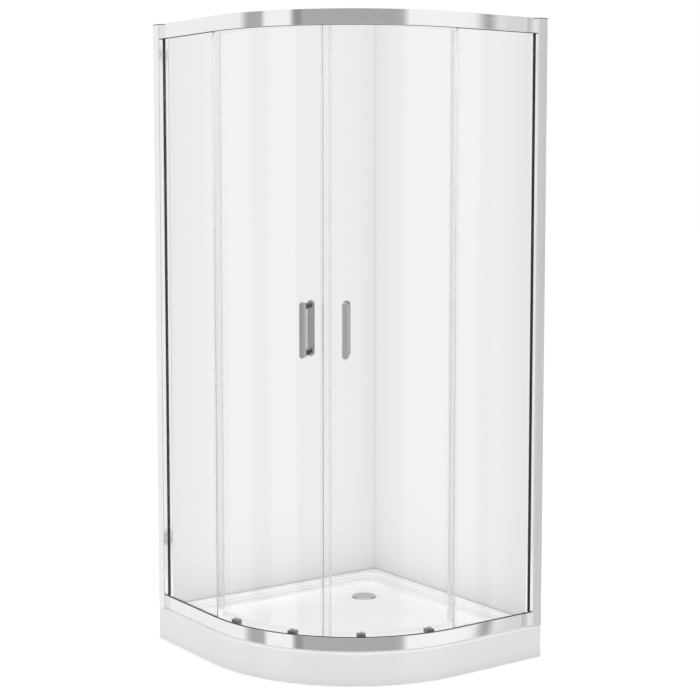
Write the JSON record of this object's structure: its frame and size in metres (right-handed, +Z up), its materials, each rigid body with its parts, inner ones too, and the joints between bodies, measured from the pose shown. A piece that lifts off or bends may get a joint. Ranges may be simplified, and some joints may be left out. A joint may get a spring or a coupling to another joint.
{
  "type": "quadrant shower enclosure",
  "caption": "Corner shower with a low quarter-round tray, flat fixed glass on both walls and curved sliding glass doors that meet on the diagonal.",
  "frame": {"origin": "on the floor under the middle of the tray's square outline", "axes": "+Z up; the room's walls are the planes x = -0.45 (left wall) and y = +0.45 (right wall), so the room's corner is at -X +Y and the curved front faces +X -Y"},
  "size_m": [0.9, 0.9, 2.027],
  "materials": {
    "tray_white": "white gloss acrylic skin",
    "board": "pressed wood board",
    "zinc_steel": "zinc plated",
    "stainless": "stainless steel",
    "chrome": "polished chrome",
    "rail_bright": "bright polished extrusion",
    "glass_clear": "clear toughened glass",
    "seal_clear": "clear soft strip",
    "gasket_dark": "dark grey gasket",
    "rubber_black": "black rubber",
    "dark_plastic": "dark grey moulded plastic",
    "nylon": "white nylon",
    "waste_plastic": "white waste plastic"
  },
  "bodies": {
    "root": {"tray": "tray_white", "tray_base_board": "board", "tray_legs": "zinc_steel", "tray_leg_nuts": "zinc_steel", "waste_flange": "chrome", "waste_seal": "rubber_black", "waste_body": "waste_plastic", "bottom_rail": "rail_bright", "top_rail": "rail_bright", "rail_end_blocks": "dark_plastic", "rail_stops": "rubber_black", "rail_gaskets": "gasket_dark", "profile_gaskets": "gasket_dark", "profile_caps": "dark_plastic", "frame_screws": "stainless", "left_wall_profile": "rail_bright", "left_side_profile": "rail_bright", "left_fixed_glass": "glass_clear", "left_fixed_seal": "seal_clear", "right_wall_profile": "rail_bright", "right_side_profile": "rail_bright", "right_fixed_glass": "glass_clear", "right_fixed_seal": "seal_clear"},
    "drain_lid": {"drain_cover": "chrome", "drain_dip_tube": "waste_plastic"},
    "left_door": {"left_door_glass": "glass_clear", "left_magnet_seal": "seal_clear", "left_rear_seal": "seal_clear", "left_outer_handle": "chrome", "left_inner_handle": "chrome", "left_handle_fixings": "nylon", "left_top_axles": "stainless", "left_top_bushes": "nylon", "left_roller_caps": "chrome", "left_bottom_housings": "dark_plastic", "left_plunger_springs": "stainless"},
    "left_front_top_wheel": {"left_front_top_wheel": "nylon"},
    "left_front_plunger": {"left_front_plunger": "dark_plastic"},
    "left_front_bottom_wheel": {"left_front_bottom_wheel": "nylon"},
    "left_rear_top_wheel": {"left_rear_top_wheel": "nylon"},
    "left_rear_plunger": {"left_rear_plunger": "dark_plastic"},
    "left_rear_bottom_wheel": {"left_rear_bottom_wheel": "nylon"},
    "right_door": {"right_door_glass": "glass_clear", "right_magnet_seal": "seal_clear", "right_rear_seal": "seal_clear", "right_outer_handle": "chrome", "right_inner_handle": "chrome", "right_handle_fixings": "nylon", "right_top_axles": "stainless", "right_top_bushes": "nylon", "right_roller_caps": "chrome", "right_bottom_housings": "dark_plastic", "right_plunger_springs": "stainless"},
    "right_front_top_wheel": {"right_front_top_wheel": "nylon"},
    "right_front_plunger": {"right_front_plunger": "dark_plastic"},
    "right_front_bottom_wheel": {"right_front_bottom_wheel": "nylon"},
    "right_rear_top_wheel": {"right_rear_top_wheel": "nylon"},
    "right_rear_plunger": {"right_rear_plunger": "dark_plastic"},
    "right_rear_bottom_wheel": {"right_rear_bottom_wheel": "nylon"}
  },
  "joints": [
    {"name": "drain_cover_lift", "type": "slide", "parent": "root", "child": "drain_lid", "axis": [0, 0, 1], "range_m": [0, 0.025]},
    {"name": "left_door_run", "type": "hinge", "parent": "root", "child": "left_door", "pos_m": [-0.145, 0.264, 0], "axis": [0, 0, -1], "range_deg": [0, 21.9]},
    {"name": "left_front_top_wheel_roll", "type": "hinge", "parent": "left_door", "child": "left_front_top_wheel", "pos_m": [0.18376, -0.33695, 2.0105], "axis": [0.5446, -0.8387, 0], "continuous": true},
    {"name": "left_front_plunger_press", "type": "slide", "parent": "left_door", "child": "left_front_plunger", "axis": [0, 0, -1], "range_m": [0, 0.005], "stiffness_N_per_m": 500, "springref_m": -0.004, "deforming": ["left_plunger_springs"]},
    {"name": "left_front_bottom_wheel_roll", "type": "hinge", "parent": "left_front_plunger", "child": "left_front_bottom_wheel", "pos_m": [0.17956, -0.33049, 0.12235], "axis": [0.5446, -0.8387, 0], "continuous": true},
    {"name": "left_rear_top_wheel_roll", "type": "hinge", "parent": "left_door", "child": "left_rear_top_wheel", "pos_m": [-0.02299, -0.41528, 2.0105], "axis": [0.1478, -0.989, 0], "continuous": true},
    {"name": "left_rear_plunger_press", "type": "slide", "parent": "left_door", "child": "left_rear_plunger", "axis": [0, 0, -1], "range_m": [0, 0.005], "stiffness_N_per_m": 500, "springref_m": -0.004, "deforming": ["left_plunger_springs"]},
    {"name": "left_rear_bottom_wheel_roll", "type": "hinge", "parent": "left_rear_plunger", "child": "left_rear_bottom_wheel", "pos_m": [-0.02413, -0.40766, 0.12235], "axis": [0.1478, -0.989, 0], "continuous": true},
    {"name": "right_door_run", "type": "hinge", "parent": "root", "child": "right_door", "pos_m": [-0.264, 0.145, 0], "axis": [0, 0, 1], "range_deg": [0, 21.9]},
    {"name": "right_front_top_wheel_roll", "type": "hinge", "parent": "right_door", "child": "right_front_top_wheel", "pos_m": [0.33695, -0.18376, 2.0105], "axis": [0.8387, -0.5446, 0], "continuous": true},
    {"name": "right_front_plunger_press", "type": "slide", "parent": "right_door", "child": "right_front_plunger", "axis": [0, 0, -1], "range_m": [0, 0.005], "stiffness_N_per_m": 500, "springref_m": -0.004, "deforming": ["right_plunger_springs"]},
    {"name": "right_front_bottom_wheel_roll", "type": "hinge", "parent": "right_front_plunger", "child": "right_front_bottom_wheel", "pos_m": [0.33049, -0.17956, 0.12235], "axis": [0.8387, -0.5446, 0], "continuous": true},
    {"name": "right_rear_top_wheel_roll", "type": "hinge", "parent": "right_door", "child": "right_rear_top_wheel", "pos_m": [0.41528, 0.02299, 2.0105], "axis": [0.989, -0.1478, 0], "continuous": true},
    {"name": "right_rear_plunger_press", "type": "slide", "parent": "right_door", "child": "right_rear_plunger", "axis": [0, 0, -1], "range_m": [0, 0.005], "stiffness_N_per_m": 500, "springref_m": -0.004, "deforming": ["right_plunger_springs"]},
    {"name": "right_rear_bottom_wheel_roll", "type": "hinge", "parent": "right_rear_plunger", "child": "right_rear_bottom_wheel", "pos_m": [0.40766, 0.02413, 0.12235], "axis": [0.989, -0.1478, 0], "continuous": true}
  ],
  "couplings": [
    {"joint": "left_front_top_wheel_roll", "follows": "left_door_run", "ratio": 62.096},
    {"joint": "left_front_bottom_wheel_roll", "follows": "left_door_run", "ratio": 75.039},
    {"joint": "left_rear_top_wheel_roll", "follows": "left_door_run", "ratio": 62.714},
    {"joint": "left_rear_bottom_wheel_roll", "follows": "left_door_run", "ratio": 75.794},
    {"joint": "right_front_top_wheel_roll", "follows": "right_door_run", "ratio": -62.096},
    {"joint": "right_front_bottom_wheel_roll", "follows": "right_door_run", "ratio": -75.039},
    {"joint": "right_rear_top_wheel_roll", "follows": "right_door_run", "ratio": -62.714},
    {"joint": "right_rear_bottom_wheel_roll", "follows": "right_door_run", "ratio": -75.794}
  ]
}
